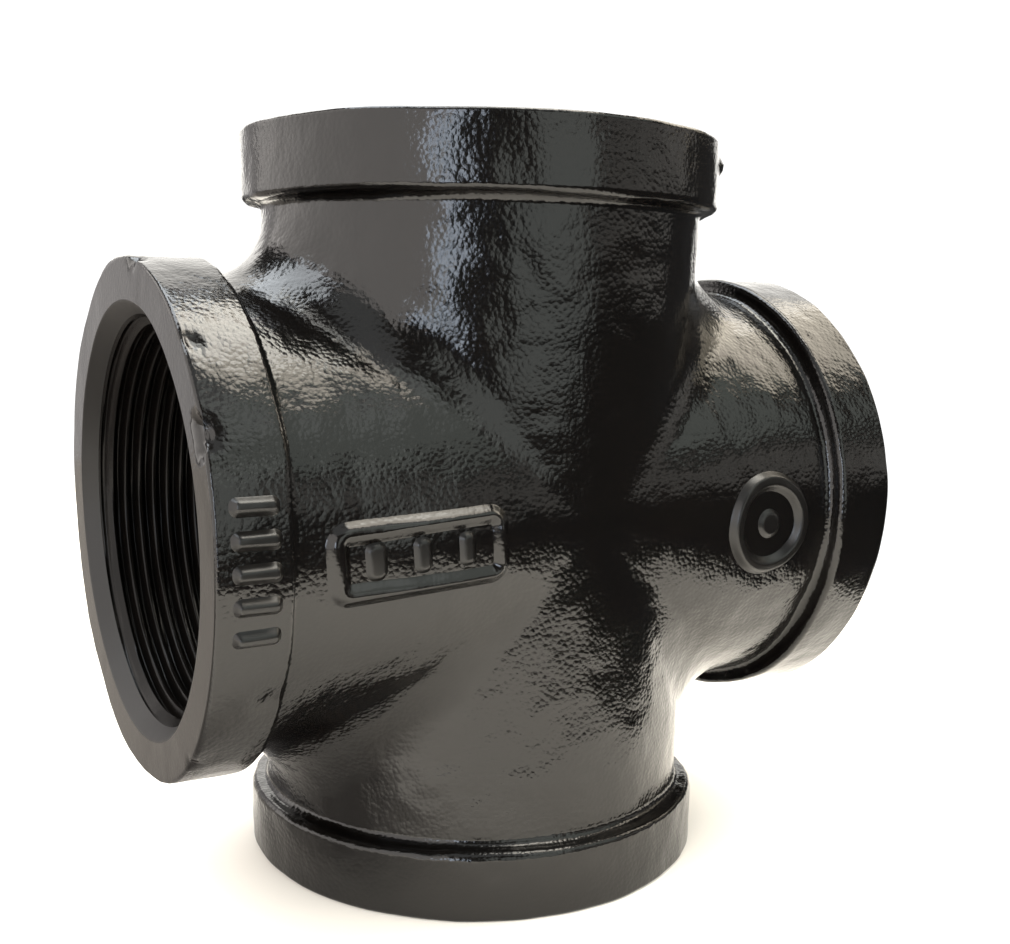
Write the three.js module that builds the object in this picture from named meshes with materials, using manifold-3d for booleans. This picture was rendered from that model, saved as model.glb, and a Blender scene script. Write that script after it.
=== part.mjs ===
// Cross fitting, 2 inch (DN 50): a black malleable iron casting with four banded, internally threaded outlets.
//
// The fitting is one casting. It is built here as the regions that a founder and a machinist would name: the
// crossing body, and for each outlet its band and its threaded barrel, then the raised marks of the pattern.
// Bands and body meet on exact planes. A barrel and a raised mark keep FIT_GAP to the metal around them.
//
// Millimetres. The origin is where the two bores cross. +X runs out of the right outlet, +Z out of the top
// outlet, and -Y is the side with the raised marks. The fitting stands on its bottom outlet.

import * as THREE from 'three';
import { mergeVertices } from 'three/addons/utils/BufferGeometryUtils.js';
import Module from 'manifold-3d';

// Outlets and body
const CENTRE_TO_FACE = 57.15; // 2 1/4 inch, for a 2 inch class 150 cross
const BAND_RADIUS = 37.65;
const BAND_WIDTH = 10.6;
const BAND_EDGE = 1.1; // rounding of the band's two outer edges
const NECK_RADIUS = 34.8;
const CROTCH_FILLET = 11.6; // between neighbouring arms, where the body is widest
const CHAMBER_RADIUS = 30.15;
const BAND_PLANE = CENTRE_TO_FACE - BAND_WIDTH;

// Internal thread: 11 per inch, 55 degree form, shown as rings of the true pitch
const THREAD_PITCH = 25.4 / 11;
const THREAD_MAJOR = 29.81;
const THREAD_MINOR = 28.33;
const THREAD_RINGS = 9;
const FIRST_CREST = 5.4; // depth below the outlet's face
const BARREL_LENGTH = 25.4;
const MOUTH_RADIUS = 31.6; // where the flat face ends and the countersink starts
const MOUTH_DEPTH = 3.7;
const MOUTH_FOOT = 28.7; // radius at the countersink's foot

// Raised marks of the pattern: plain shapes with no lettering
const MARK_HEIGHT = 0.9;
const PANEL = { x: -28, z: -0.9, width: 25, height: 9.6, wall: 1.3, corner: 2, tilt: 0.06 };
const PANEL_BAR = { count: 3, width: 4, height: 4.4, pitch: 6.6 };
const RING = { x: 33.6, z: -1.2, outer: 7.6, inner: 5.9, dot: 2.4 };
const BAND_BAR = { count: 5, length: 5.6, width: 1.5, pitch: 4.1, centre: -0.7 };

const FIT_GAP = 0.3;
const MARK_GAP = 0.15;
const ROUND_SIDES = 40;
const THREAD_SIDES = 32;
const ARM_STEPS = 6;
const ROUND_SEGMENTS = 10; // each arc of a round mark
const OUTLETS = { right: 0, top: -Math.PI / 2, left: Math.PI, bottom: Math.PI / 2 };

const wasm = await Module();
wasm.setup();

const fitting = new THREE.Group();

// ---- Solids and meshes ------------------------------------------------------------------------------

/** A closed geometry as a solid that can be joined and cut. */
function toSolid(geometry) {
  geometry.deleteAttribute('normal');
  geometry.deleteAttribute('uv');
  const merged = mergeVertices(geometry, 1e-4);
  return new wasm.Manifold(new wasm.Mesh({
    numProp: 3,
    vertProperties: new Float32Array(merged.attributes.position.array),
    triVerts: new Uint32Array(merged.index.array),
  }));
}

/** A solid's surface as a geometry. */
function toGeometry(solid) {
  const mesh = solid.getMesh();
  const geometry = new THREE.BufferGeometry();
  geometry.setAttribute('position', new THREE.BufferAttribute(mesh.vertProperties, 3));
  geometry.setIndex(new THREE.BufferAttribute(mesh.triVerts, 1));
  geometry.computeVertexNormals();
  return geometry;
}

/** One named sub-part, with a material of its own, turned about Y to its outlet. */
function addPart(name, geometry, finish, turn = 0) {
  const mesh = new THREE.Mesh(geometry, new THREE.MeshStandardMaterial(finish));
  mesh.name = name;
  mesh.rotation.y = turn;
  fitting.add(mesh);
}

// Varnished casting skin, and the threads cut after casting and varnished with it
const castSkin = () => ({ color: 0x1c1b1a, roughness: 0.32, metalness: 0.2 });
const cutThread = () => ({ color: 0x141312, roughness: 0.4, metalness: 0.3 });

/** A profile of [radius, distance along X] points turned about the X axis. */
function turned(profile, sides) {
  const points = profile.map(([radius, x]) => new THREE.Vector2(radius, x));
  return new THREE.LatheGeometry(points, sides).rotateZ(-Math.PI / 2);
}

// ---- Crossing body ------------------------------------------------------------------------------------

/**
 * Distance from the axis to the outer skin of the arm along +X, at one angle about that axis.
 * Two crossing tubes are joined by a round fillet. The fillet is full size at mid depth and shrinks with the
 * tubes' half width to nothing at the front and back, where the tubes touch without a corner.
 */
function skinDistance(x, angle, radius, fillet) {
  const across = Math.abs(Math.cos(angle));
  const forward = Math.abs(Math.sin(angle));
  let inside = radius;
  let outside = Math.min(radius / Math.max(forward, 1e-9), 2 * radius);
  for (let step = 0; step < 50; step += 1) {
    const middle = (inside + outside) / 2;
    const y = Math.min(middle * forward, radius);
    const wall = Math.sqrt(radius * radius - y * y);
    const round = (fillet * wall) / radius;
    const fromArm = middle * across - wall;
    const fromCross = (x === null ? middle * across : x) - wall;
    const corner = Math.hypot(Math.max(round - fromArm, 0), Math.max(round - fromCross, 0));
    if (Math.max(round, Math.min(fromArm, fromCross)) - corner <= 0) inside = middle;
    else outside = middle;
  }
  return inside;
}

/** The outer solid of the crossing body, each arm ending on a plane at the given reach. */
function skinSolid(radius, fillet, reach) {
  const turns = Object.values(OUTLETS);
  const positions = [];
  const faces = [];
  for (const turn of turns) {
    const first = positions.length / 3;
    for (let side = 0; side < ROUND_SIDES; side += 1) {
      const angle = (side / ROUND_SIDES) * 2 * Math.PI;
      const meeting = skinDistance(null, angle, radius, fillet);
      const start = meeting * Math.abs(Math.cos(angle));
      for (let step = 0; step <= ARM_STEPS; step += 1) {
        const x = start + (reach - start) * (step / ARM_STEPS);
        const distance = step === 0 ? meeting : skinDistance(x, angle, radius, fillet);
        const point = new THREE.Vector3(x, distance * Math.sin(angle), distance * Math.cos(angle));
        point.applyAxisAngle(new THREE.Vector3(0, 1, 0), turn);
        positions.push(point.x, point.y, point.z);
      }
    }
    const centre = new THREE.Vector3(reach, 0, 0).applyAxisAngle(new THREE.Vector3(0, 1, 0), turn);
    positions.push(centre.x, centre.y, centre.z);
    const hub = positions.length / 3 - 1;
    const at = (side, step) => first + (side % ROUND_SIDES) * (ARM_STEPS + 1) + step;
    for (let side = 0; side < ROUND_SIDES; side += 1) {
      for (let step = 0; step < ARM_STEPS; step += 1) {
        faces.push(at(side, step), at(side + 1, step + 1), at(side + 1, step));
        faces.push(at(side, step), at(side, step + 1), at(side + 1, step + 1));
      }
      faces.push(at(side, ARM_STEPS), hub, at(side + 1, ARM_STEPS));
    }
  }
  const geometry = new THREE.BufferGeometry();
  geometry.setAttribute('position', new THREE.Float32BufferAttribute(positions, 3));
  geometry.setIndex(faces);
  return toSolid(geometry);
}

/** The hollow along one bore: the chamber, then the wider seats of the two threaded barrels. */
function boreCutter() {
  const seat = CENTRE_TO_FACE - BARREL_LENGTH - FIT_GAP;
  const past = CENTRE_TO_FACE + 1;
  return turned([
    [0, -past], [MOUTH_RADIUS, -past], [MOUTH_RADIUS, -seat], [CHAMBER_RADIUS, -seat],
    [CHAMBER_RADIUS, seat], [MOUTH_RADIUS, seat], [MOUTH_RADIUS, past], [0, past],
  ], ROUND_SIDES);
}

const body = skinSolid(NECK_RADIUS, CROTCH_FILLET, BAND_PLANE)
  .subtract(toSolid(boreCutter()))
  .subtract(toSolid(boreCutter().rotateY(Math.PI / 2)));
addPart('crossing_body', toGeometry(body), castSkin());

// ---- Outlets ------------------------------------------------------------------------------------------

/** The reinforcing band, with its flat outlet face and two rounded outer edges. */
function bandRing() {
  const edge = (centreX, from) => [0, 1, 2].map((step) => {
    const angle = from + (step / 2) * (Math.PI / 2);
    const radius = BAND_RADIUS - BAND_EDGE + BAND_EDGE * Math.cos(angle);
    return [radius, centreX + BAND_EDGE * Math.sin(angle)];
  });
  return turned([
    [MOUTH_RADIUS, BAND_PLANE],
    ...edge(BAND_PLANE + BAND_EDGE, -Math.PI / 2),
    ...edge(CENTRE_TO_FACE - BAND_EDGE, 0),
    [MOUTH_RADIUS, CENTRE_TO_FACE],
    [MOUTH_RADIUS, BAND_PLANE],
  ], ROUND_SIDES);
}

/** The threaded barrel: a countersunk mouth, then thread rings down to the chamber. */
function threadedBarrel() {
  const outer = MOUTH_RADIUS - FIT_GAP;
  const foot = CENTRE_TO_FACE - BARREL_LENGTH;
  const profile = [[outer, foot], [outer, CENTRE_TO_FACE], [MOUTH_FOOT, CENTRE_TO_FACE - MOUTH_DEPTH]];
  for (let ring = 0; ring < THREAD_RINGS; ring += 1) {
    const crest = CENTRE_TO_FACE - FIRST_CREST - ring * THREAD_PITCH;
    profile.push([THREAD_MAJOR, crest + THREAD_PITCH / 2], [THREAD_MINOR, crest]);
  }
  profile.push([THREAD_MAJOR, foot], [outer, foot]);
  return turned(profile, THREAD_SIDES);
}

for (const [side, turn] of Object.entries(OUTLETS)) {
  addPart(`${side}_band`, bandRing(), castSkin(), turn);
  addPart(`${side}_threaded_barrel`, threadedBarrel(), cutThread(), turn);
}

// ---- Raised marks ---------------------------------------------------------------------------------------

/** A flat outline in X and Z, pushed through the front of the fitting as a block. */
function frontBlock(shape, { x, z, tilt = 0 }, curveSegments = 2) {
  const depth = 2 * BAND_RADIUS;
  const block = new THREE.ExtrudeGeometry(shape, { depth, bevelEnabled: false, curveSegments });
  block.rotateX(Math.PI / 2).rotateY(-tilt).translate(x, 0, z);
  return toSolid(block);
}

/** A rectangle with rounded corners about its own centre. */
function roundedRectangle(width, height, corner) {
  const shape = new THREE.Shape();
  const [right, top] = [width / 2 - corner, height / 2 - corner];
  shape.absarc(right, top, corner, 0, Math.PI / 2);
  shape.absarc(-right, top, corner, Math.PI / 2, Math.PI);
  shape.absarc(-right, -top, corner, Math.PI, 1.5 * Math.PI);
  shape.absarc(right, -top, corner, 1.5 * Math.PI, 2 * Math.PI);
  return shape;
}

function disc(radius) {
  return new THREE.Shape().absarc(0, 0, radius, 0, 2 * Math.PI);
}

/** The thin layer that stands MARK_HEIGHT proud of the crossing body's skin. */
const bodyLayer = skinSolid(NECK_RADIUS + MARK_HEIGHT, CROTCH_FILLET, BAND_PLANE)
  .subtract(skinSolid(NECK_RADIUS + MARK_GAP, CROTCH_FILLET, BAND_PLANE + 1));

const panelOutline = roundedRectangle(PANEL.width, PANEL.height, PANEL.corner);
panelOutline.holes.push(roundedRectangle(
  PANEL.width - 2 * PANEL.wall, PANEL.height - 2 * PANEL.wall, PANEL.corner - PANEL.wall / 2,
));
addPart('panel_frame', toGeometry(frontBlock(panelOutline, PANEL).intersect(bodyLayer)), castSkin());

for (let bar = 0; bar < PANEL_BAR.count; bar += 1) {
  const along = (bar - (PANEL_BAR.count - 1) / 2) * PANEL_BAR.pitch;
  const place = {
    x: PANEL.x + along * Math.cos(PANEL.tilt),
    z: PANEL.z + along * Math.sin(PANEL.tilt),
    tilt: PANEL.tilt,
  };
  const block = frontBlock(roundedRectangle(PANEL_BAR.width, PANEL_BAR.height, 0.6), place);
  addPart(`panel_bar_${bar + 1}`, toGeometry(block.intersect(bodyLayer)), castSkin());
}

const ringOutline = disc(RING.outer);
ringOutline.holes.push(disc(RING.inner));
const roundMarks = { round_mark_ring: ringOutline, round_mark_dot: disc(RING.dot) };
for (const [name, outline] of Object.entries(roundMarks)) {
  const block = frontBlock(outline, RING, ROUND_SEGMENTS);
  addPart(name, toGeometry(block.intersect(bodyLayer)), castSkin());
}

/** The thin layer that stands MARK_HEIGHT proud of the left band. */
const bandLayer = toSolid(turned([
  [BAND_RADIUS + MARK_GAP, -CENTRE_TO_FACE], [BAND_RADIUS + MARK_HEIGHT, -CENTRE_TO_FACE],
  [BAND_RADIUS + MARK_HEIGHT, -BAND_PLANE], [BAND_RADIUS + MARK_GAP, -BAND_PLANE],
  [BAND_RADIUS + MARK_GAP, -CENTRE_TO_FACE],
], ROUND_SIDES));

for (let bar = 0; bar < BAND_BAR.count; bar += 1) {
  const place = {
    x: -(CENTRE_TO_FACE + BAND_PLANE) / 2,
    z: BAND_BAR.centre + (bar - (BAND_BAR.count - 1) / 2) * BAND_BAR.pitch,
  };
  const block = frontBlock(roundedRectangle(BAND_BAR.length, BAND_BAR.width, 0.5), place);
  addPart(`band_bar_${bar + 1}`, toGeometry(block.intersect(bandLayer)), castSkin());
}

export default fitting;
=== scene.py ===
"""Looks of a banded cross fitting: a 2 inch four-way casting in varnished malleable iron.

The frame gives the fitting's places and main sizes. This script makes its fine surfaces: the cast body with
its filleted crotches, the four banded outlets, their helical pipe threads and the raised marks of the
pattern. Shapes are worked out in millimetres and put into Blender in metres.

Every arm is worked out in one local frame, with x out of the outlet, y to the back and z across, and is then
turned about Y to its place.
"""

from __future__ import annotations

import logging
import math
from dataclasses import dataclass, replace
from enum import Enum
from typing import Callable

import bpy
import numpy as np
from mathutils import Matrix, Vector
from numpy.typing import NDArray

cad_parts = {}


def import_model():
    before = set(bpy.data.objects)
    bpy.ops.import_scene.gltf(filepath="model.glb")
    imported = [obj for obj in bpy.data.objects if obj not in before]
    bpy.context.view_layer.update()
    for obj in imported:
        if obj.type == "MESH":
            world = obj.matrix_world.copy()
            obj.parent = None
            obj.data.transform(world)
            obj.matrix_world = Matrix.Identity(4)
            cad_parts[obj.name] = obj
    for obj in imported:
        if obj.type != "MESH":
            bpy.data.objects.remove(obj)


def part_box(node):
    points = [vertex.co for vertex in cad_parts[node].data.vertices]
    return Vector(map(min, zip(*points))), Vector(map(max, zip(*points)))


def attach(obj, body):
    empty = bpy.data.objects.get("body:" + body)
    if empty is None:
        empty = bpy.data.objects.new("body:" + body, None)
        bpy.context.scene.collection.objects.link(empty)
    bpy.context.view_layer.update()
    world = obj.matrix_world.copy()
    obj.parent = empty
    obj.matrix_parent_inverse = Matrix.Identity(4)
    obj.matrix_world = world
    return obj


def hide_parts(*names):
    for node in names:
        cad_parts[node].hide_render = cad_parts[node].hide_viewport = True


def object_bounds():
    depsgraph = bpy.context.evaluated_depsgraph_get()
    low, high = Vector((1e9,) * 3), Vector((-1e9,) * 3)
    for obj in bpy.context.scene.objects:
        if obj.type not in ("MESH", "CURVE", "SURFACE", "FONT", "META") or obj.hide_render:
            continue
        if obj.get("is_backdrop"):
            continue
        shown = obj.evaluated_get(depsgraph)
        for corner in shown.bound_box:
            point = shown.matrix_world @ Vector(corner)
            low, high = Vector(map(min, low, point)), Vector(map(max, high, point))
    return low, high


LOG = logging.getLogger("cross_fitting")

Array = NDArray[np.float64]

MM = 0.001  # metres in a millimetre
FRONT = np.array([0.0, -1.0, 0.0])
OUT = np.array([1.0, 0.0, 0.0])  # out of the outlet, in an arm's local frame
SIDES_ROUND = 200  # columns of every surface that goes once round an arm
QUARTER_ROWS = 7  # rows of every quarter circle of an outlet's section
HALVINGS = 50  # enough to bring any interval here down to rounding error
WELD = 1e-4  # mm, how close points count as one
TINY = 1e-12  # keeps divisions finite, and comparisons clear of rounding
SAND = "sand"  # the mesh attribute that scales the sand grain


# ---- Colour ----


def linear(hex_colour: str) -> tuple[float, float, float, float]:
    """Turn an sRGB hex colour into the linear colour that shaders take.

    Args:
        hex_colour: six hex digits after a hash sign.

    Returns:
        Red, green and blue in linear light, and an alpha of one.
    """
    channels = [int(hex_colour[i : i + 2], 16) / 255 for i in (1, 3, 5)]
    red, green, blue = (
        c / 12.92 if c <= 0.04045 else ((c + 0.055) / 1.055) ** 2.4 for c in channels
    )
    return red, green, blue, 1.0


# ---- Surfaces ----


def unit(vectors: Array) -> Array:
    """Each vector of an array brought to length one."""
    return vectors / np.maximum(np.linalg.norm(vectors, axis=-1, keepdims=True), TINY)


def smooth_step(value: Array) -> Array:
    """Zero below 0, one above 1, and the cubic 3t^2 - 2t^3 in between."""
    held = np.clip(value, 0.0, 1.0)
    return held * held * (3.0 - 2.0 * held)


def around() -> Array:
    """The angles of a surface's columns about the arm's axis, from z towards y."""
    return np.arange(SIDES_ROUND) * (2 * np.pi / SIDES_ROUND)


def rows_after(start: float, end: float, rows: int) -> Array:
    """Even steps from a start, which is left out, to an end."""
    return np.linspace(start, end, rows + 1)[1:]


def radial(angle: Array) -> Array:
    """The direction straight out from the arm's axis at each angle."""
    return np.stack([0.0 * angle, np.sin(angle), np.cos(angle)], -1)


def furthest(within: Callable[[Array], Array], inside: Array, outside: Array) -> Array:
    """Find the edge of a region by halving intervals that hold it.

    Args:
        within: tells which of a set of values lie in the region.
        inside: values in the region.
        outside: values beyond its edge.

    Returns:
        The last value in the region, for each interval.
    """
    for _ in range(HALVINGS):
        middle = (inside + outside) / 2
        held = within(middle)
        inside, outside = np.where(held, middle, inside), np.where(held, outside, middle)
    return inside


@dataclass(frozen=True)
class Patch:
    """A grid of surface points, each with the direction that faces out of the metal.

    Attributes:
        points: rows x columns x 3, in millimetres.
        normals: rows x columns x 3, of length one.
        round: whether the last column joins the first.
        sand: how much of the casting's sand grain shows, one number or one for each row.
    """

    points: Array
    normals: Array
    round: bool = True
    sand: Array | float = 1.0

    def turned(self, turn: Array) -> Patch:
        """The same patch after a rotation matrix."""
        return Patch(self.points @ turn.T, self.normals @ turn.T, self.round, self.sand)

    def sand_grid(self) -> Array:
        """The sand grain's share at every point."""
        rows = np.asarray(self.sand, float).reshape(-1, 1)
        return np.broadcast_to(rows, self.points.shape[:2])

    def quads(self) -> Array:
        """Corner numbers of each cell, wound so that the cells face the way of the normals.

        Returns:
            Cells x 4 point numbers within this patch.
        """
        rows, columns = self.points.shape[:2]
        number = np.arange(rows * columns).reshape(rows, columns)
        if self.round:
            number = np.concatenate([number, number[:, :1]], axis=1)
        corners = [number[:-1, :-1], number[:-1, 1:], number[1:, 1:], number[1:, :-1]]
        cells = np.stack([c.ravel() for c in corners], axis=1)
        flat = self.points.reshape(-1, 3)
        diagonals = (flat[cells[:, 2]] - flat[cells[:, 0]], flat[cells[:, 3]] - flat[cells[:, 1]])
        facing = np.cross(*diagonals) * self.normals.reshape(-1, 3)[cells[:, 0]]
        return cells if facing.sum() > 0 else cells[:, ::-1]


def sheet_patch(points: Array, outward: Array, closed: bool = False) -> Patch:
    """A patch whose normals come from its own grid: the cross product of its two directions.

    Args:
        points: rows x columns x 3.
        outward: a direction, or one for each point, that the normals should agree with.
        closed: whether the last column joins the first.

    Returns:
        The patch.
    """
    if closed:
        wrapped = np.concatenate([points[:, -1:], points, points[:, :1]], axis=1)
        across = np.gradient(wrapped, axis=1)[:, 1:-1]
    else:
        across = np.gradient(points, axis=1)
    normals = unit(np.cross(across, np.gradient(points, axis=0)))
    agree = np.sign((normals * outward).sum())
    return Patch(points, normals * agree, closed)


def bridge(first: Array, second: Array, outward: Array, closed: bool = True) -> Patch:
    """The straight wall between two rows of points."""
    return sheet_patch(np.stack([first, second]), outward, closed)


def scene_object(name: str, data: bpy.types.ID) -> bpy.types.Object:
    """A new object in the scene, made of a mesh, a light or a camera."""
    made = bpy.data.objects.new(name, data)
    bpy.context.scene.collection.objects.link(made)
    return made


def make_piece(name: str, patches: list[Patch]) -> bpy.types.Object:
    """Weld patches into one closed mesh that keeps each patch's own normals.

    Points of different patches that fall within WELD of each other become one vertex, so the mesh is closed,
    and every face corner keeps the normal of the patch it came from, so a surface that runs on from one
    piece to the next shades without a seam.

    Args:
        name: the piece's name.
        patches: the patches that together enclose the piece.

    Returns:
        The new object, at the origin.
    """
    points = np.concatenate([p.points.reshape(-1, 3) for p in patches])
    normals = np.concatenate([p.normals.reshape(-1, 3) for p in patches])
    sand = np.concatenate([p.sand_grid().ravel() for p in patches])
    starts = np.cumsum([0] + [p.points.shape[0] * p.points.shape[1] for p in patches])
    cells = np.concatenate([p.quads() + start for p, start in zip(patches, starts)])
    keys, first, shared = np.unique(
        np.round(points / WELD).astype(np.int64), axis=0, return_index=True, return_inverse=True
    )
    corners = shared.reshape(-1)[cells]

    mesh = bpy.data.meshes.new(name)
    mesh.vertices.add(len(keys))
    mesh.vertices.foreach_set("co", (points[first] * MM).astype(np.float32).ravel())
    mesh.loops.add(corners.size)
    mesh.loops.foreach_set("vertex_index", corners.astype(np.int32).ravel())
    mesh.polygons.add(len(corners))
    mesh.polygons.foreach_set("loop_start", np.arange(0, corners.size, 4, dtype=np.int32))
    mesh.polygons.foreach_set("use_smooth", np.ones(len(corners), bool))
    mesh.update(calc_edges=True)
    mesh.normals_split_custom_set(normals[cells.ravel()].tolist())
    grain = mesh.attributes.new(SAND, "FLOAT", "POINT")
    grain.data.foreach_set("value", sand[first].astype(np.float32))
    return scene_object(name, mesh)


# ---- The casting's own unevenness ----


@dataclass(frozen=True)
class WaveBand:
    """A range of wavelengths of the mould's unevenness, and how deep it is, in millimetres."""

    shortest: float
    longest: float
    depth: float
    waves: int


@dataclass(frozen=True)
class Lump:
    """A single round swelling of the casting, or a dent where its height is below zero, in millimetres."""

    centre: tuple[float, float, float]
    reach: float
    height: float


@dataclass(frozen=True)
class MouldRelief:
    """How far the cast surface stands off its drawn shape.

    The height at a point is a sum of plane sine waves in space, with random directions, lengths and phases,
    and of a bell curve for each lump. It depends on the point alone, so neighbouring pieces agree.
    """

    bands: tuple[WaveBand, ...]
    lumps: tuple[Lump, ...]
    seed: int = 27

    def waves(self) -> tuple[Array, Array, Array]:
        """Wave vectors, phases and depths of all the plane waves."""
        random = np.random.default_rng(self.seed)
        vectors, phases, depths = [], [], []
        for band in self.bands:
            lengths = np.exp(random.uniform(math.log(band.shortest), math.log(band.longest), band.waves))
            directions = unit(random.normal(size=(band.waves, 3)))
            vectors.append(directions * (2 * np.pi / lengths)[:, None])
            phases.append(random.uniform(0, 2 * np.pi, band.waves))
            depths.append(np.full(band.waves, band.depth * math.sqrt(2 / band.waves)))
        return np.concatenate(vectors), np.concatenate(phases), np.concatenate(depths)

    def height_and_slope(self, points: Array) -> tuple[Array, Array]:
        """The relief's height and its gradient in space at each point.

        Args:
            points: any shape x 3, in the fitting's frame.

        Returns:
            The heights, and the gradients with one more axis of three.
        """
        vectors, phases, depths = self.waves()
        angle = points @ vectors.T + phases
        height = np.sin(angle) @ depths
        slope = (np.cos(angle) * depths) @ vectors
        for lump in self.lumps:
            offset = points - np.array(lump.centre)
            bell = lump.height * np.exp(-(offset**2).sum(-1) / (2 * lump.reach**2))
            height = height + bell
            slope = slope - offset * (bell / lump.reach**2)[..., None]
        return height, slope

    def cast(self, patch: Patch, share: Array | float = 1.0) -> Patch:
        """Move a patch of the fitting's frame by the relief, and lean its normals to suit.

        Args:
            patch: the drawn surface.
            share: how much of the relief it takes, one number or one for each row.

        Returns:
            The cast surface.
        """
        height, slope = self.height_and_slope(patch.points)
        part = np.broadcast_to(np.asarray(share, float).reshape(-1, 1), height.shape)
        slope = slope * part[..., None]
        along = (slope * patch.normals).sum(-1, keepdims=True)
        points = patch.points + patch.normals * (height * part)[..., None]
        return Patch(points, unit(patch.normals - slope + patch.normals * along), patch.round, patch.sand)


# ---- Sizes and places ----


class Outlet(Enum):
    """The four outlets, each with the turn about Y, in quarter turns, from the local frame."""

    RIGHT = 0
    TOP = 1
    LEFT = 2
    BOTTOM = 3

    @property
    def label(self) -> str:
        """The outlet's name in the frame's node names."""
        return self.name.lower()

    @property
    def turn(self) -> Array:
        """The rotation from the local frame: x goes out of this outlet and y stays."""
        cos, sin = ((1, 0), (0, 1), (-1, 0), (0, -1))[self.value]
        return np.array([[cos, 0, -sin], [0, 1, 0], [sin, 0, cos]], float)

    @property
    def out(self) -> Array:
        """The direction that goes out of this outlet."""
        return self.turn @ OUT


@dataclass(frozen=True)
class FittingSizes:
    """The fitting's main sizes in millimetres, read from the frame's nodes."""

    face: float
    band_plane: float
    band_radius: float
    neck_radius: float
    barrel_foot: float
    mouth_radius: float

    @classmethod
    def from_frame(cls) -> FittingSizes:
        """Measure the right outlet, which all four outlets repeat."""
        band_low, band_high = (np.array(c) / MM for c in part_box("right_band"))
        barrel_low, barrel_high = (np.array(c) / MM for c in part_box("right_threaded_barrel"))
        body_high = np.array(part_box("crossing_body")[1]) / MM
        gap = 0.3  # between the frame's barrel and the metal around it
        return cls(
            face=band_high[0],
            band_plane=band_low[0],
            band_radius=band_high[1],
            neck_radius=body_high[1],
            barrel_foot=barrel_low[0],
            mouth_radius=barrel_high[1] + gap,
        )


@dataclass(frozen=True)
class CrossingTubes:
    """The skin of two equal tubes that cross, with a round fillet where their walls meet.

    At any depth y each tube's wall stands at w = sqrt(r^2 - y^2) from its own axis. There the walls are
    joined by a quarter circle of radius f w / r: full size at mid depth, and nothing at the very front and
    back, where the tubes touch without a corner.
    """

    radius: float
    fillet: float

    def value(self, x: Array, y: Array, z: Array) -> Array:
        """Below zero in the metal and above zero outside."""
        wall = np.sqrt(np.maximum(self.radius**2 - y**2, 0.0))
        corner = self.fillet * wall / self.radius
        from_run, from_branch = np.abs(z) - wall, np.abs(x) - wall
        reach = np.hypot(np.maximum(corner - from_run, 0), np.maximum(corner - from_branch, 0))
        return np.maximum(corner, np.minimum(from_run, from_branch)) - reach

    def normals(self, points: Array) -> Array:
        """Outward directions on the skin: the gradient of value, times w so that it stays finite."""
        x, y, z = np.moveaxis(points, -1, 0)
        wall = np.sqrt(np.maximum(self.radius**2 - y**2, 0.0))
        ratio = self.fillet / self.radius
        corner = ratio * wall
        run = np.maximum(corner - np.abs(z) + wall, 0)
        branch = np.maximum(corner - np.abs(x) + wall, 0)
        reach = np.maximum(np.hypot(run, branch), TINY)
        lean = np.maximum((run + branch) / reach, 1.0) * (ratio + 1) - ratio
        along, across = wall * branch / reach * np.sign(x), wall * run / reach * np.sign(z)
        return unit(np.stack([along, y * lean, across], -1))

    def distance(self, angle: Array, x: Array | None) -> Array:
        """Distance of the skin from the arm's axis.

        Args:
            angle: angle about the arm's axis, from z towards y.
            x: distance along the arm, or None for the line on which this arm meets its neighbour.

        Returns:
            The distances, of the same shape as the arguments together.
        """
        across, forward = np.abs(np.cos(angle)), np.abs(np.sin(angle))
        shape = np.broadcast(angle, 0.0 if x is None else x).shape
        furthest_out = np.minimum(self.radius / np.maximum(forward, TINY), 2 * self.radius)

        def within(distance: Array) -> Array:
            """Whether points this far from the axis are in the metal."""
            y, z = np.minimum(distance * forward, self.radius), distance * across
            return self.value(z if x is None else x, y, z) <= 0

        return furthest(within, np.full(shape, self.radius), np.broadcast_to(furthest_out, shape))

    def arm(self, reach: float, rows: int) -> Patch:
        """The arm along x, from the line where it meets its neighbours.

        Args:
            reach: distance along the arm at which it ends.
            rows: rows of points from end to end.

        Returns:
            The arm's skin, with normals that face out of the tube.
        """
        angle = around()
        meeting = self.distance(angle, None)
        start = meeting * np.abs(np.cos(angle))
        share = np.linspace(0.0, 1.0, rows)[:, None]
        x = start + (reach - start) * share
        radius = self.distance(np.broadcast_to(angle, x.shape), x)
        radius[0] = meeting
        points = x[..., None] * OUT + radius[..., None] * radial(angle)
        points[0, :, 0] = np.abs(points[0, :, 2])
        return Patch(points, self.normals(points))

    def front(self, x: Array, z: Array) -> Array:
        """The y of the skin on the marked side, straight in front of each (x, z)."""
        deepest = np.full_like(x, self.radius)
        return -furthest(lambda y: self.value(x, y, z) <= 0, np.zeros_like(x), deepest)


# ---- Pieces ----


def ring(x: float, radius: float) -> Array:
    """One row of points round the local x axis."""
    return x * OUT + radius * radial(around())


@dataclass(frozen=True)
class Countersink:
    """The cone that opens each mouth: its radius falls evenly with depth below the face."""

    mouth_radius: float
    depth: float = 3.7
    foot_radius: float = 28.7

    def radius(self, depth: Array) -> Array:
        """The cone's radius at a depth, carried on past its foot."""
        return self.mouth_radius - depth * ((self.mouth_radius - self.foot_radius) / self.depth)

    @property
    def lean(self) -> float:
        """Lean of the cone's normal from straight out of the band towards the outlet."""
        return math.pi / 2 + math.atan2(self.depth, self.mouth_radius - self.foot_radius)


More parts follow.
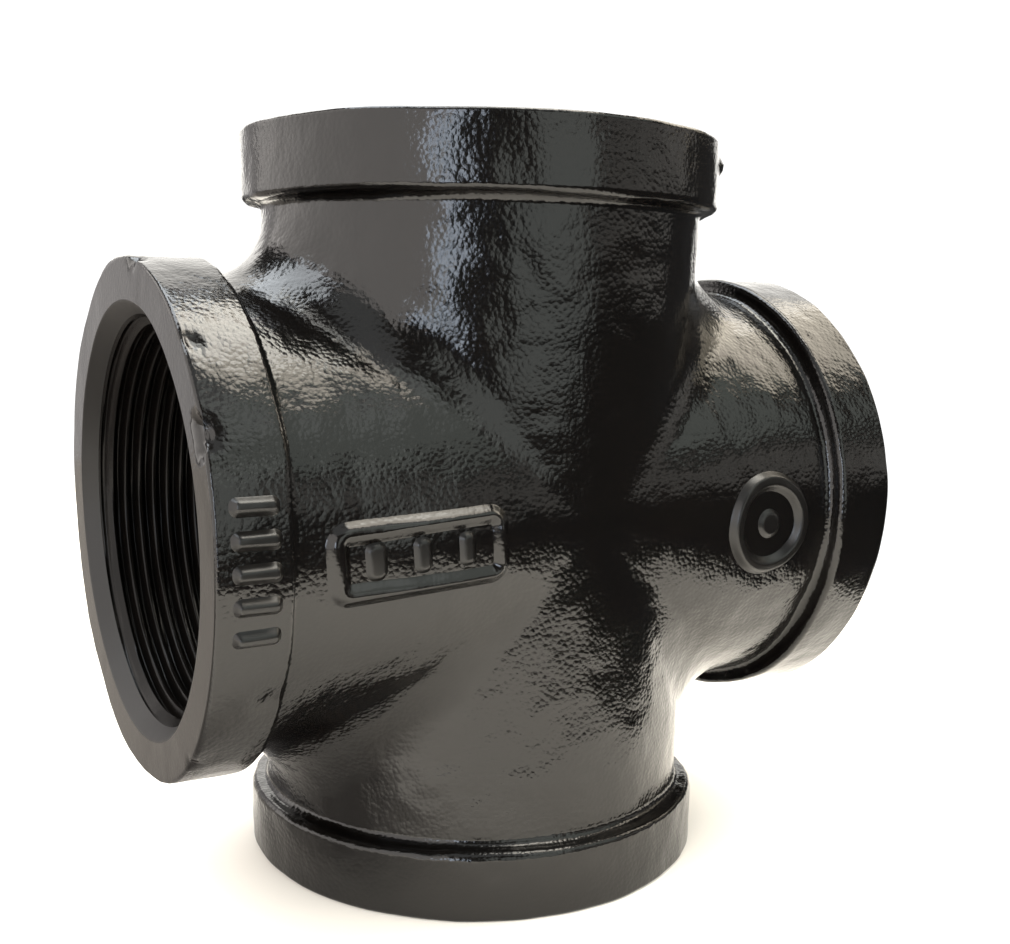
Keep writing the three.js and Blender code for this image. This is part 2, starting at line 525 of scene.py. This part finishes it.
@dataclass(frozen=True)
class CastBody:
    """The crossing body's skin, its chamber, and the shoulders on which the four outlets continue."""

    sizes: FittingSizes
    relief: MouldRelief
    fillet: float = 11.6
    seam_inset: float = 2.2  # from the band to the line where an outlet takes over the skin
    skin_rows: int = 44
    chamber_radius: float = 30.15
    chamber_fillet: float = 1.2
    chamber_rows: int = 14
    chamber_relief: float = 0.5  # how much of the mould's relief the core's surface shows

    @property
    def skin(self) -> CrossingTubes:
        """The outer surface."""
        return CrossingTubes(self.sizes.neck_radius, self.fillet)

    @property
    def seam(self) -> float:
        """Distance along an arm at which the outlet's own piece begins."""
        return self.sizes.band_plane - self.seam_inset

    def build(self) -> bpy.types.Object:
        """Make the body: outer skin and chamber of each arm, joined by the seat of its barrel."""
        sizes = self.sizes
        tubes = CrossingTubes(self.chamber_radius, self.chamber_fillet)
        chamber = tubes.arm(sizes.barrel_foot, self.chamber_rows)
        hollow = Patch(chamber.points, -chamber.normals)
        outer = self.skin.arm(self.seam, self.skin_rows)
        seat = [ring(sizes.barrel_foot, sizes.mouth_radius), ring(self.seam, sizes.mouth_radius)]
        patches: list[Patch] = []
        for outlet in Outlet:
            skin = self.relief.cast(outer.turned(outlet.turn))
            inside = self.relief.cast(hollow.turned(outlet.turn), self.chamber_relief)
            foot, lip = (row @ outlet.turn.T for row in seat)
            patches += [
                skin,
                inside,
                bridge(inside.points[-1], foot, outlet.out),
                bridge(foot, lip, -(foot - outlet.out * sizes.barrel_foot)),
                bridge(lip, skin.points[-1], outlet.out),
            ]
        return make_piece("cast_body", patches)


@dataclass(frozen=True)
class OutletBand:
    """One outlet's end: shoulder fillet, reinforcing band, flat face and the lip of its mouth."""

    outlet: Outlet
    body: CastBody
    relief: MouldRelief
    cone: Countersink
    shoulder: float = 1.3  # radius of the fillet between neck and band
    edge: float = 1.1  # rounding of the band's inner edge
    ground_edge: float = 0.6  # rounding left where the face was ground flat
    lip: float = 0.2  # rounding where the flat face meets the countersink
    face_relief: float = 0.3  # how much of the mould's relief grinding left
    face_sand: float = 0.3  # how much of its sand grain
    cut_relief: float = 0.12  # how much of the relief is left at the thread's start
    thread_start: float = 2.3  # depth at which the thread begins to cut the cone

    def section(self) -> tuple[Array, Array, Array, Array]:
        """The outline from the shoulder's foot to the start of the thread, row by row.

        Returns:
            Distance along the arm, radius, lean of the normal from straight out towards the outlet, and how
            much of the mould's relief the row takes.
        """
        sizes, edge, ground, lip = self.body.sizes, self.edge, self.ground_edge, self.lip
        quarter = np.linspace(0.0, np.pi / 2, QUARTER_ROWS)
        foot = sizes.band_plane - self.shoulder
        rim, face_rim = sizes.band_radius - edge, sizes.band_radius - ground
        flat = rows_after(face_rim, sizes.mouth_radius + lip, 6)
        along = rows_after(sizes.band_plane + edge, sizes.face - ground, 10)
        turn_in = rows_after(0.0, 1.0, 3)
        depth = rows_after(lip, self.thread_start, 5)
        x = np.concatenate([
            foot + self.shoulder * np.sin(quarter),
            sizes.band_plane + edge * (1 - np.cos(quarter)),
            along,
            sizes.face - ground + ground * np.sin(quarter[1:]),
            np.full(flat.size, sizes.face),
            sizes.face - lip * turn_in**2,
            sizes.face - depth,
        ])
        radius = np.concatenate([
            sizes.neck_radius + self.shoulder * (1 - np.cos(quarter)),
            rim + edge * np.sin(quarter),
            np.full(along.size, sizes.band_radius),
            face_rim + ground * np.cos(quarter[1:]),
            flat,
            sizes.mouth_radius + lip + (self.cone.radius(lip) - sizes.mouth_radius - lip) * turn_in,
            self.cone.radius(depth),
        ])
        lean = np.concatenate([
            -quarter,
            quarter - np.pi / 2,
            np.zeros(along.size),
            quarter[1:],
            np.full(flat.size, np.pi / 2),
            np.pi / 2 + (self.cone.lean - np.pi / 2) * turn_in,
            np.full(depth.size, self.cone.lean),
        ])
        cast = 2 * quarter.size + along.size
        share = np.concatenate([
            np.ones(cast),
            np.linspace(1.0, self.face_relief, quarter.size),
            np.full(flat.size - 1 + turn_in.size, self.face_relief),
            np.linspace(self.face_relief, self.cut_relief, depth.size),
        ])
        return x, radius, lean, share

    def ground(self, surface: Patch) -> Patch:
        """The surface after grinding: nothing stands past the face's plane, and hollows stay."""
        out, nearly_level = self.outlet.out, 0.99
        past = np.maximum(surface.points @ out - self.body.sizes.face, 0.0)[..., None]
        flat = (past > 0) & ((surface.normals @ out)[..., None] > nearly_level)
        normals = np.where(flat, out, surface.normals)
        return replace(surface, points=surface.points - past * out, normals=normals)

    def build(self) -> bpy.types.Object:
        """Make the outlet's closed ring, starting where the cast body's skin ends."""
        body, sizes = self.body, self.body.sizes
        angle = around()
        x, radius, lean, share = self.section()
        neck_x = np.linspace(body.seam, x[0], 4)[:-1, None] + 0.0 * angle
        neck_radius = body.skin.distance(angle + 0.0 * neck_x, neck_x)
        foot_radius = body.skin.distance(angle, np.full_like(angle, x[0]))
        fade = np.clip((self.shoulder - radius + radius[0]) / self.shoulder, 0, 1)
        fade[QUARTER_ROWS:] = 0.0
        flare = (foot_radius - sizes.neck_radius) * fade[:, None]

        rows_x = np.concatenate([neck_x, x[:, None] + 0.0 * angle])
        rows_radius = np.concatenate([neck_radius, radius[:, None] + flare])
        away = radial(angle)
        points = rows_x[..., None] * OUT + rows_radius[..., None] * away
        neck_normals = body.skin.normals(points[: len(neck_x) + 1])
        normals = np.cos(lean)[:, None, None] * away + np.sin(lean)[:, None, None] * OUT
        normals = np.concatenate([neck_normals, np.broadcast_to(normals, (x.size, angle.size, 3))[1:]])
        share = np.concatenate([np.ones(len(neck_x)), share])
        cut = np.concatenate([np.zeros(len(neck_x), bool), lean > np.pi / 2 + TINY])
        sand = np.where(cut, 0.0, np.maximum(share, self.face_sand))

        turn, out = self.outlet.turn, self.outlet.out
        surface = self.ground(self.relief.cast(Patch(points, normals, sand=sand).turned(turn), share))
        shelf, seam = (ring(d, sizes.mouth_radius) @ turn.T for d in (x[-1], body.seam))
        patches = [
            surface,
            bridge(surface.points[-1], shelf, -out),
            bridge(shelf, seam, -(shelf - out * x[-1])),
            bridge(seam, surface.points[0], -out),
        ]
        return make_piece(f"{self.outlet.label}_outlet", patches)


@dataclass(frozen=True)
class PipeThread:
    """One outlet's internal thread: a right-hand helix from the countersink down to the chamber.

    The bore's radius is the larger of two surfaces. One is the countersink's cone, held a hair back so that
    the outlet's own cone covers it. The other swings between the thread's minor and major radius with the
    phase depth / pitch - angle / 2 pi, so one turn climbs by one pitch.
    """

    outlet: Outlet
    sizes: FittingSizes
    relief: MouldRelief
    cone: Countersink
    major: float = 29.81
    minor: float = 28.33
    pitch: float = 25.4 / 11
    top_depth: float = 1.4
    cover: float = 0.05  # how far the outlet's cone covers this one
    run_out: float = 4.0  # where the tap's leading teeth cut less
    least_depth: float = 0.25  # share of the thread's depth at the very end
    flank: float = 0.8  # share of half a turn taken by the sloping flank
    rows: int = 112
    relief_share: float = 0.12
    sand: float = 0.5

    def bore(self, angle: Array, x: Array) -> Array:
        """The bore's radius at an angle about the axis and a distance along the arm."""
        depth = self.sizes.face - x
        cone = self.cone.radius(depth) + self.cover
        phase = np.mod(depth / self.pitch - angle / (2 * np.pi), 1.0)
        swing = np.abs(2 * phase - 1)
        groove = smooth_step((swing - (1 - self.flank) / 2) / self.flank)
        left = x - self.sizes.barrel_foot
        full = self.least_depth + (1 - self.least_depth) * smooth_step(left / self.run_out)
        crest = self.major - (self.major - self.minor) * full
        thread = crest + (self.major - crest) * groove
        return np.maximum(cone, thread)

    def build(self) -> bpy.types.Object:
        """Make the closed barrel: threaded bore, foot and the plain outside that the outlet covers."""
        sizes = self.sizes
        top = sizes.face - self.top_depth
        x = np.linspace(top, sizes.barrel_foot, self.rows)[:, None] + 0.0 * around()
        angle = around() + 0.0 * x
        radius = self.bore(angle, x)
        step = 2e-2  # for the slopes: millimetres along the arm, and radians about it
        climb = (self.bore(angle, x + step) - self.bore(angle, x - step)) / (2 * step)
        wind = (self.bore(angle + step, x) - self.bore(angle - step, x)) / (2 * step) / radius
        away, tangent = radial(angle), radial(angle + np.pi / 2)
        points = x[..., None] * OUT + radius[..., None] * away
        normals = unit(climb[..., None] * OUT + wind[..., None] * tangent - away)

        turn, out = self.outlet.turn, self.outlet.out
        bore = Patch(points, normals, sand=self.sand).turned(turn)
        surface = self.relief.cast(bore, self.relief_share)
        head, foot = (ring(d, sizes.mouth_radius) @ turn.T for d in (top, sizes.barrel_foot))
        patches = [
            surface,
            bridge(surface.points[0], head, out),
            bridge(head, foot, head - out * top),
            bridge(foot, surface.points[-1], -out),
        ]
        return make_piece(f"{self.outlet.label}_thread", patches)


# ---- Raised marks ----

Outline = Callable[[Array, Array], Array]


def box_outline(width: float, height: float, corner: float) -> Outline:
    """Signed distance to a rectangle with round corners, below zero inside."""

    def distance(u: Array, v: Array) -> Array:
        """The distance at a point."""
        du, dv = np.abs(u) - width / 2 + corner, np.abs(v) - height / 2 + corner
        outside = np.hypot(np.maximum(du, 0), np.maximum(dv, 0))
        return outside + np.minimum(np.maximum(du, dv), 0) - corner

    return distance


def disc_outline(radius: float) -> Outline:
    """Signed distance to a circle, below zero inside."""
    return lambda u, v: np.hypot(u, v) - radius


def rim_outline(shape: Outline, wall: float) -> Outline:
    """Signed distance to a wall that runs just inside another outline."""
    return lambda u, v: np.abs(shape(u, v) + wall / 2) - wall / 2


@dataclass(frozen=True)
class RaisedMark:
    """A raised shape of the pattern, on the side of the fitting that faces front.

    Its top is a height over the skin: full inside the outline, and down a smooth flank to below the skin
    outside it. A second surface, buried in the metal, closes it underneath. The mark has the name of the
    frame node that it stands for.
    """

    name: str
    outline: Outline
    front: Callable[[Array, Array], Array]
    facing: Callable[[Array], Array]
    relief: MouldRelief
    tilt: float = 0.0
    height: float = 1.0
    flank: float = 1.5
    wobble: float = 0.5  # how much the mould's waves push the outline about
    sand: float = 0.12  # the pattern pressed the mould smooth here, so little grain shows
    bury: float = 0.2
    cell: float = 0.16

    def build(self) -> bpy.types.Object:
        """Make the mark over its node's place in the frame."""
        low, high = (np.array(c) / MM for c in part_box(self.name))
        centre = (low + high) / 2
        half = (high - low) / 2 + self.flank
        counts = np.ceil(2 * half / self.cell).astype(int)
        x, z = np.meshgrid(
            centre[0] + np.linspace(-half[0], half[0], counts[0]),
            centre[2] + np.linspace(-half[2], half[2], counts[2]),
            indexing="ij",
        )
        cos, sin = math.cos(self.tilt), math.sin(self.tilt)
        u = (x - centre[0]) * cos + (z - centre[2]) * sin
        v = (z - centre[2]) * cos - (x - centre[0]) * sin
        skin = np.stack([x, self.front(x, z), z], -1)
        facing = self.facing(skin)
        wave, _ = self.relief.height_and_slope(skin)
        inside = smooth_step(0.5 - (self.outline(u, v) + self.wobble * wave) / self.flank)
        raised = wave - self.bury + (self.height + self.bury) * inside
        top = replace(sheet_patch(skin + facing * raised[..., None], FRONT), sand=self.sand)
        base = sheet_patch(skin + facing * (wave - 3 * self.bury)[..., None], -FRONT)
        walls = [
            bridge(top.points[edge], base.points[edge], outward, closed=False)
            for edge, outward in (
                (np.s_[0], np.array([-1.0, 0, 0])),
                (np.s_[-1], np.array([1.0, 0, 0])),
                (np.s_[:, 0], np.array([0, 0, -1.0])),
                (np.s_[:, -1], np.array([0, 0, 1.0])),
            )
        ]
        return make_piece(self.name, [top, base, *walls])


@dataclass(frozen=True)
class PatternMarks:
    """The framed panel and the round mark on the body, and the row of bars on the left band."""

    body: CastBody
    relief: MouldRelief
    panel_tilt: float = 0.06

    def on_body(self, name: str, outline: Outline, **form: float) -> RaisedMark:
        """A mark on the body's skin, with any tilt, height, flank or sand that isn't the usual one."""
        skin = self.body.skin
        return RaisedMark(name, outline, skin.front, skin.normals, self.relief, **form)

    def on_band(self, name: str, outline: Outline) -> RaisedMark:
        """A mark on the left band, whose surface is a cylinder about X."""
        radius = self.body.sizes.band_radius

        def front(x: Array, z: Array) -> Array:
            """The y of the band's surface."""
            return -np.sqrt(radius**2 - z**2) + 0.0 * x

        def facing(points: Array) -> Array:
            """The direction straight out of the band."""
            return unit(points * np.array([0.0, 1.0, 1.0]))

        return RaisedMark(name, outline, front, facing, self.relief, flank=1.3)

    def all(self) -> list[RaisedMark]:
        """Every mark, named as the frame names its node. Sizes are in millimetres."""
        panel = rim_outline(box_outline(25.8, 10.2, 2.6), 1.9)
        bar = box_outline(2.4, 4.6, 1.0)
        round_rim = rim_outline(disc_outline(7.9), 2.2)
        stroke = box_outline(5.8, 1.8, 0.7)
        return [
            self.on_body("panel_frame", panel, tilt=self.panel_tilt, flank=2.1, sand=0.4),
            *(
                self.on_body(f"panel_bar_{i}", bar, tilt=self.panel_tilt, height=0.55, flank=1.3)
                for i in (1, 2, 3)
            ),
            self.on_body("round_mark_ring", round_rim, height=1.1),
            self.on_body("round_mark_dot", disc_outline(2.1), height=0.45, flank=1.6),
            *(self.on_band(f"band_bar_{i}", stroke) for i in range(1, 6)),
        ]


# ---- Finishes ----


def add_node(
    tree: bpy.types.NodeTree, kind: str, inputs: dict[str | int, object] | None = None, **settings: object
) -> bpy.types.Node:
    """Add a node, set its properties, and set or link its inputs.

    Args:
        tree: the node tree.
        kind: the node's type name.
        inputs: for each input, by name or number, a value or the socket that feeds it.
        **settings: the node's own properties.

    Returns:
        The new node.
    """
    node = tree.nodes.new(kind)
    for name, value in settings.items():
        setattr(node, name, value)
    for key, value in (inputs or {}).items():
        if isinstance(value, bpy.types.NodeSocket):
            tree.links.new(value, node.inputs[key])
        else:
            node.inputs[key].default_value = value
    return node


def noise(
    tree: bpy.types.NodeTree, place: bpy.types.NodeSocket, size: float, detail: float, roughness: float
) -> bpy.types.NodeSocket:
    """A cloudy pattern in space, with patches of about a size in millimetres."""
    form = {"Vector": place, "Scale": 1 / (size * MM), "Detail": detail, "Roughness": roughness}
    return add_node(tree, "ShaderNodeTexNoise", form).outputs["Fac"]


def bump(
    tree: bpy.types.NodeTree,
    height: bpy.types.NodeSocket,
    depth: float,
    over: dict[str, bpy.types.NodeSocket],
    invert: bool = False,
) -> bpy.types.NodeSocket:
    """Fine relief that only the shading shows.

    Args:
        tree: the node tree.
        height: the relief's pattern.
        depth: its depth in millimetres.
        over: the relief beneath it, as Normal, and the share of it that shows, as Strength, if any.
        invert: whether the pattern's high values are hollows.

    Returns:
        The normal that it gives.
    """
    inputs = {"Height": height, "Distance": depth * MM, **over}
    return add_node(tree, "ShaderNodeBump", inputs, invert=invert).outputs["Normal"]


@dataclass(frozen=True)
class VarnishedIron:
    """Sand-cast malleable iron, dipped once in black bitumen varnish.

    The sand leaves a grain of rounded pits. The varnish fills the finest of it and levels out, so the eye
    sees a deep black with a sharp gloss that breaks into sparks where the grain still shows through.
    """

    name: str
    black: str = "#040404"
    brown: str = "#0e0b09"
    pebble: float = 0.72  # mm, from one rounded sand mark to the next
    pebble_depth: float = 0.042  # mm
    grain: float = 0.4  # mm, the size of the finer roughness on them
    grain_depth: float = 0.024  # mm
    flow: float = 4.5  # mm, the size of the varnish's runs and levelled patches
    flow_depth: float = 0.035  # mm
    gloss: float = 0.14  # roughness of the varnish over full sand grain
    dull: float = 0.3  # how much rougher it is on a cut surface, which has no grain at all
    settled: float = 0.3  # share of sand grain from which the varnish has its full gloss
    under: tuple[float, float] = (0.26, 0.42)  # range of roughness beneath the gloss
    coat: float = 1.0

    def material(self) -> bpy.types.Material:
        """Build the shader."""
        made = bpy.data.materials.new(self.name)
        made.use_nodes = True
        tree = made.node_tree
        tree.nodes.clear()
        place = add_node(tree, "ShaderNodeTexCoord").outputs["Object"]

        patches = noise(tree, place, 3 * self.flow, detail=3.0, roughness=0.6)
        colour = add_node(
            tree,
            "ShaderNodeMix",
            {"Factor": patches, 6: linear(self.black), 7: linear(self.brown)},
            data_type="RGBA",
        )
        flow = noise(tree, place, self.flow, detail=1.0, roughness=0.4)
        pebbles = add_node(
            tree,
            "ShaderNodeTexVoronoi",
            {"Vector": place, "Scale": 1 / (self.pebble * MM)},
            feature="F1",
        ).outputs["Distance"]
        grain = noise(tree, place, self.grain, detail=2.0, roughness=0.6)
        share = add_node(tree, "ShaderNodeAttribute", attribute_name=SAND).outputs["Fac"]
        levelled = bump(tree, flow, self.flow_depth, {})
        over = {"Normal": levelled, "Strength": share}
        pebbled = bump(tree, pebbles, self.pebble_depth, over, invert=True)
        pitted = bump(tree, grain, self.grain_depth, over | {"Normal": pebbled})
        uneven = add_node(
            tree,
            "ShaderNodeMapRange",
            {"Value": patches, "To Min": self.under[0], "To Max": self.under[1]},
        )
        thin = add_node(
            tree,
            "ShaderNodeMapRange",
            {
                "Value": share,
                "From Max": self.settled,
                "To Min": self.gloss + self.dull,
                "To Max": self.gloss,
            },
        )
        shader = add_node(
            tree,
            "ShaderNodeBsdfPrincipled",
            {
                "Base Color": colour.outputs[2],
                "Roughness": uneven.outputs["Result"],
                "Specular IOR Level": 0.0,
                "Normal": pitted,
                "Coat Weight": self.coat,
                "Coat Roughness": thin.outputs["Result"],
                "Coat IOR": 1.5,
                "Coat Normal": pitted,
            },
        )
        add_node(tree, "ShaderNodeOutputMaterial", {"Surface": shader.outputs["BSDF"]})
        return made


# ---- Studio ----


def compass(azimuth: float, elevation: float) -> Vector:
    """The direction at an azimuth from -Y towards +X, and an elevation above the floor, in degrees."""
    a, e = math.radians(azimuth), math.radians(elevation)
    return Vector((math.sin(a) * math.cos(e), -math.cos(a) * math.cos(e), math.sin(e)))


@dataclass(frozen=True)
class SoftLight:
    """A rectangular soft light that faces the fitting."""

    name: str
    azimuth: float
    elevation: float
    size: tuple[float, float]  # metres
    radiance: float
    colour: str
    distance: float = 1.0  # metres

    def place(self) -> None:
        """Put the light in the scene."""
        lamp = bpy.data.lights.new(self.name, "AREA")
        lamp.shape = "RECTANGLE"
        lamp.size, lamp.size_y = self.size
        lamp.energy = self.radiance * math.pi * self.size[0] * self.size[1]
        lamp.color = linear(self.colour)[:3]
        holder = scene_object(self.name, lamp)
        direction = compass(self.azimuth, self.elevation)
        holder.location = direction * self.distance
        holder.rotation_euler = direction.to_track_quat("Z", "Y").to_euler()
        holder.visible_camera = False


@dataclass(frozen=True)
class Viewpoint:
    """Where the camera stands, by its angles about the fitting's centre."""

    azimuth: float = -31.29
    elevation: float = 11.02
    roll: float = 1.10
    distance: float = 206.1  # mm along the line of sight
    aim: tuple[float, float] = (4.82, -8.55)  # mm, of the sight line to the right of and above the centre
    lens: float = 43.73  # mm, over the sensor below
    sensor: float = 36.0  # mm
    shift: float = 0.0772
    clip: tuple[float, float] = (0.01, 20.0)  # metres, the nearest and furthest that it sees

    def place(self) -> None:
        """Make the scene's camera."""
        data = bpy.data.cameras.new("camera")
        data.lens, data.sensor_width, data.shift_y = self.lens, self.sensor, self.shift
        data.clip_start, data.clip_end = self.clip
        camera = scene_object("camera", data)
        back = compass(self.azimuth, self.elevation)
        level = (-back).to_track_quat("-Z", "Y").to_matrix()
        turn = level @ Matrix.Rotation(math.radians(self.roll), 3, "Z")
        offset = turn @ Vector((self.aim[0], self.aim[1], self.distance)) * MM
        camera.matrix_world = Matrix.Translation(offset) @ turn.to_4x4()
        bpy.context.scene.camera = camera


@dataclass(frozen=True)
class PaleFloor:
    """The painted table top that the fitting stands on, cut away where the gloss should stay dark."""

    height: float  # mm
    colour: str = "#f6f0e6"
    roughness: float = 0.9
    outline: tuple[tuple[float, float], ...] = (
        (-420, -215), (-30, -215), (60, -150), (84, -100), (92, -58), (205, -22), (205, 480), (-420, 480)
    )

    def place(self) -> None:
        """Put the floor in the scene."""
        mesh = bpy.data.meshes.new("floor")
        corners = [(x * MM, y * MM, self.height * MM) for x, y in self.outline]
        mesh.from_pydata(corners, [], [tuple(range(len(corners)))])
        paint = bpy.data.materials.new("matt_table_paint")
        paint.use_nodes = True
        shader = paint.node_tree.nodes["Principled BSDF"]
        shader.inputs["Base Color"].default_value = linear(self.colour)
        shader.inputs["Roughness"].default_value = self.roughness
        shader.inputs["Specular IOR Level"].default_value = 0.0
        mesh.materials.append(paint)
        plate = scene_object("floor", mesh)
        plate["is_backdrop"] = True


@dataclass(frozen=True)
class FloorShadowCard:
    """Painted floor shadow: a sheet beside the fitting that darkens what its gloss shows there, where the
    floor lies in shade.

    Only the gloss sees it. Its cover is full inside and fades over a soft edge, by the smooth step of the
    distance to the nearest side.
    """

    height: float  # mm
    x: tuple[float, float] = (-420, -24)
    y: tuple[float, float] = (-56, 560)
    cells: tuple[int, int] = (100, 120)  # points along x and y
    soft_edge: float = 38.0
    # the painted shadow's tone: the floor in shade, as the gloss sees it
    colour: str = "#7b7671"
    cover: str = "cover"

    def place(self) -> None:
        """Put the card in the scene."""
        lines = (np.linspace(*span, count) for span, count in zip((self.x, self.y), self.cells))
        x, y = np.meshgrid(*lines, indexing="ij")
        points = np.stack([x, y, np.full_like(x, self.height)], -1)
        sheet = sheet_patch(points, np.array([0.0, 0.0, 1.0]))
        mesh = bpy.data.meshes.new("floor_shadow_card")
        mesh.from_pydata((points.reshape(-1, 3) * MM).tolist(), [], sheet.quads().tolist())
        inside = np.minimum.reduce([x - self.x[0], self.x[1] - x, y - self.y[0], self.y[1] - y])
        cover = mesh.attributes.new(self.cover, "FLOAT", "POINT")
        share_here = smooth_step(inside / self.soft_edge).astype(np.float32)
        cover.data.foreach_set("value", share_here.ravel())

        # the material paints the floor's shadow, which fades to clear over the soft edge
        shadow_paint = bpy.data.materials.new("painted_floor_shadow")
        shadow_paint.use_nodes = True
        tree = shadow_paint.node_tree
        tree.nodes.clear()
        share = add_node(tree, "ShaderNodeAttribute", attribute_name=self.cover)
        clear = add_node(tree, "ShaderNodeBsdfTransparent")
        shadow_tone = add_node(tree, "ShaderNodeBsdfDiffuse", {"Color": linear(self.colour)})
        mixed = add_node(
            tree,
            "ShaderNodeMixShader",
            {0: share.outputs["Fac"], 1: clear.outputs[0], 2: shadow_tone.outputs[0]},
        )
        add_node(tree, "ShaderNodeOutputMaterial", {"Surface": mixed.outputs[0]})
        mesh.materials.append(shadow_paint)
        # the card is painted shadow: only the gloss sees it, and the eye, the diffuse light and the shadows
        # do not
        card = scene_object("floor_shadow_card", mesh)
        card.visible_camera = card.visible_diffuse = card.visible_shadow = False
        card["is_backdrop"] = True


@dataclass(frozen=True)
class Studio:
    """A pale floor, a pale surround and soft lights."""

    floor_height: float  # mm
    sky: float = 3.6  # irradiance of the broad light from above
    sky_width: float = 150.0  # degrees
    white: float = 1.2  # the surround as the eye sees it
    room: float = 0.06  # what the gloss shows between the lights
    card_gap: float = 0.5  # mm, from the floor up to the card of painted floor shadow
    lights: tuple[SoftLight, ...] = (
        SoftLight("left_wall", -98, 21, (2.6, 1.2), 2.3, "#f7f1ec"),
        SoftLight("left_ceiling", -146, 67, (0.95, 0.38), 6.2, "#f4faff"),
        SoftLight("left_doorway", -41, 8, (0.18, 0.38), 8.0, "#dce8f8"),
        SoftLight("front_ceiling", -15, 60, (1.1, 0.5), 0.8, "#eef2f2"),
        SoftLight("front_wall", 2, 13, (0.62, 0.56), 1.55, "#e8eee8"),
        SoftLight("front_right_wall", 33, 40, (0.75, 0.56), 1.3, "#e6efe6"),
        SoftLight("right_low_wall", 50, 12, (1.05, 0.2), 0.85, "#ece8e0"),
        SoftLight("ceiling_lamp", 112, 78, (0.6, 0.4), 5.0, "#fbfbf4"),
        SoftLight("right_ceiling", 90, 70, (0.8, 0.28), 6.5, "#fff6e6"),
        SoftLight("right_window", 94, 40, (0.64, 0.4), 4.4, "#fff4e0"),
        SoftLight("right_wall", 90, 24, (0.45, 0.3), 1.3, "#f0e4cc"),
        SoftLight("back_wall", 150, 28, (1.2, 0.9), 2.2, "#fbf8f2"),
        SoftLight("back_left_wall", -166, 13, (0.5, 0.82), 0.8, "#f5efec"),
    )

    def surround(self) -> None:
        """A white surround to the eye, and a dim room to the gloss."""
        world = bpy.data.worlds.new("surround")
        world.use_nodes = True
        tree = world.node_tree
        tree.nodes.clear()
        seen = add_node(tree, "ShaderNodeLightPath").outputs["Is Camera Ray"]
        dim, white = (
            add_node(tree, "ShaderNodeBackground", {"Color": linear("#ffffff"), "Strength": strength})
            for strength in (self.room, self.white)
        )
        mixed = add_node(
            tree,
            "ShaderNodeMixShader",
            {0: seen, 1: dim.outputs["Background"], 2: white.outputs["Background"]},
        )
        add_node(tree, "ShaderNodeOutputWorld", {"Surface": mixed.outputs["Shader"]})
        bpy.context.scene.world = world

    def overhead(self) -> None:
        """One very broad light from above, which the gloss doesn't show."""
        lamp = bpy.data.lights.new("overhead", "SUN")
        lamp.energy, lamp.angle = self.sky, math.radians(self.sky_width)
        scene_object("overhead", lamp).visible_glossy = False

    def place(self) -> None:
        """Set up the floor, the surround and the lights."""
        PaleFloor(self.floor_height).place()
        # a card of painted floor shadow, which only the gloss sees
        FloorShadowCard(self.floor_height + self.card_gap).place()
        self.surround()
        self.overhead()
        for light in self.lights:
            light.place()
        bpy.context.scene.view_settings.view_transform = "Standard"


# ---- The whole fitting ----


def finish_piece(
    piece: bpy.types.Object, material: bpy.types.Material, slot: str, *nodes: str
) -> None:
    """Dress a piece, fix it to the fitting and let it stand for its frame nodes.

    Args:
        piece: the piece.
        material: its finish.
        slot: a material slot's name; not used.
        *nodes: the frame nodes that it replaces.
    """
    piece.data.materials.append(material)
    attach(piece, "root")
    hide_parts(*nodes)
    LOG.info("%s: %d faces, stands for %s", piece.name, len(piece.data.polygons), ", ".join(nodes))


def build_fitting() -> None:
    """Build and dress every piece of the fitting."""
    sizes = FittingSizes.from_frame()
    relief = MouldRelief(
        bands=(
            WaveBand(shortest=18.0, longest=45.0, depth=0.16, waves=24),
            WaveBand(shortest=6.0, longest=14.0, depth=0.04, waves=40),
            WaveBand(shortest=2.5, longest=5.0, depth=0.018, waves=60),
        ),
        lumps=(
            Lump((-57.0, -32.0, 16.9), 0.8, -3.6),
            Lump((-57.0, -33.0, 15.3), 0.9, -3.2),
            Lump((-57.0, -32.8, 13.8), 0.6, -2.4),
            Lump((-57.0, -4.8, 36.9), 0.9, -1.5),
            Lump((-57.2, -24.5, -29.0), 0.8, -1.2),
            Lump((-55.9, -26.6, 26.9), 0.9, -0.5),
            Lump((-48.4, -32.4, -18.7), 1.4, -0.6),
            Lump((28.6, -25.3, 53.6), 0.75, 1.0),
        ),
    )
    skin = VarnishedIron("bitumen_varnish_on_sand_cast_iron").material()
    thread = VarnishedIron(
        "bitumen_varnish_on_cut_thread",
        pebble_depth=0.03,
        grain_depth=0.03,
        flow=3.0,
        flow_depth=0.03,
        gloss=0.26,
        coat=0.36,
    ).material()
    body = CastBody(sizes, relief)
    cone = Countersink(sizes.mouth_radius)
    finish_piece(body.build(), skin, "varnished_iron_skin", "crossing_body")
    for outlet in Outlet:
        band = OutletBand(outlet, body, relief, cone)
        finish_piece(band.build(), skin, "varnished_iron_skin", f"{outlet.label}_band")
        barrel = PipeThread(outlet, sizes, relief, cone)
        replaced = f"{outlet.label}_threaded_barrel"
        finish_piece(barrel.build(), thread, "varnished_iron_thread", replaced)
    for mark in PatternMarks(body, relief).all():
        finish_piece(mark.build(), skin, "varnished_iron_skin", mark.name)


def main() -> None:
    """Load the frame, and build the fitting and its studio."""
    logging.basicConfig(level=logging.INFO, format="%(message)s")
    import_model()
    frame_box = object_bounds()
    Studio(floor_height=frame_box[0].z / MM).place()
    Viewpoint().place()
    build_fitting()
    bpy.context.view_layer.update()


if __name__ == "__main__":
    main()
